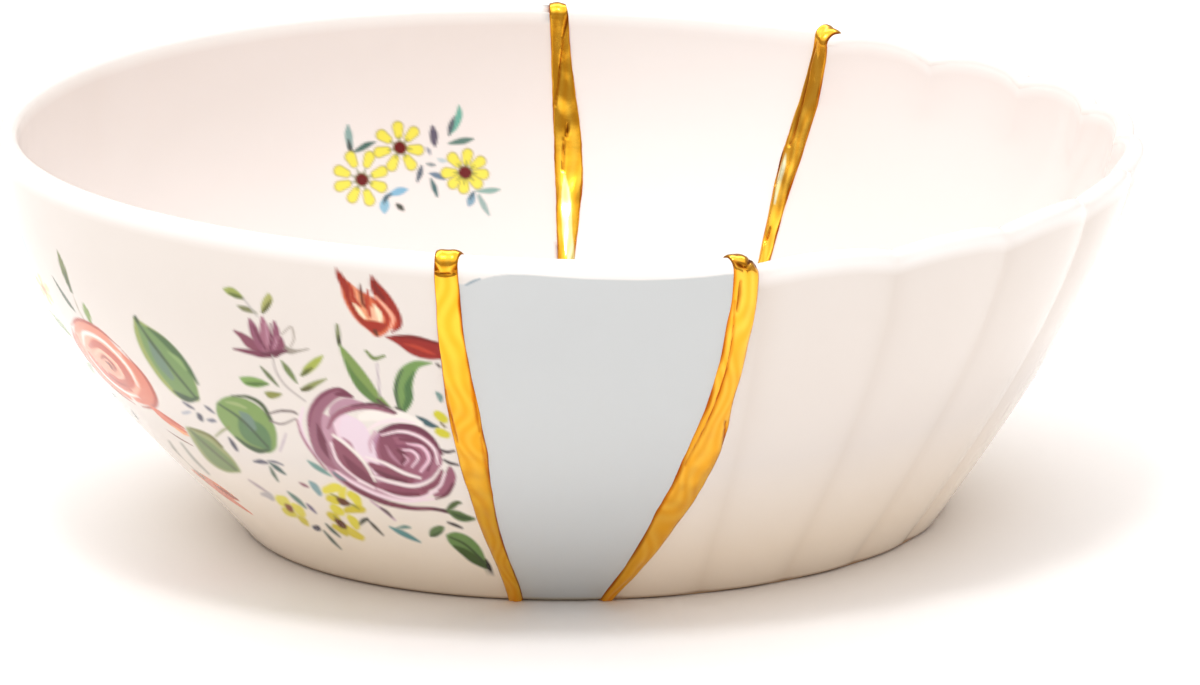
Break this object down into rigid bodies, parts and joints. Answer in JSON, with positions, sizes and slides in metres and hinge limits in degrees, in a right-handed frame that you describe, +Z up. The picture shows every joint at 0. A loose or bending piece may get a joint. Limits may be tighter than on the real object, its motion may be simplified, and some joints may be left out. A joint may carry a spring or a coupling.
{
  "type": "serving bowl",
  "caption": "Open serving bowl put together from a floral, a plain and a fluted ceramic shard, joined by raised gold seams.",
  "frame": {"origin": "on the table, under the middle of the bowl's box", "axes": "+Z up out of the bowl's mouth, -X towards the floral shard, +X towards the fluted shard, -Y towards the viewer of the picture"},
  "size_m": [0.1852, 0.1865, 0.0671],
  "materials": {
    "white_glaze": "glossy warm white glaze with painted flowers",
    "blue_grey_glaze": "glossy pale blue-grey glaze outside, white glaze inside",
    "fluted_white_glaze": "glossy warm white glaze",
    "left_gold": "polished gold over lacquer",
    "right_gold": "polished gold over lacquer"
  },
  "bodies": {
    "root": {"floral_shard": "white_glaze", "plain_shard": "blue_grey_glaze", "fluted_shard": "fluted_white_glaze", "left_gold_seam": "left_gold", "right_gold_seam": "right_gold"}
  },
  "joints": []
}
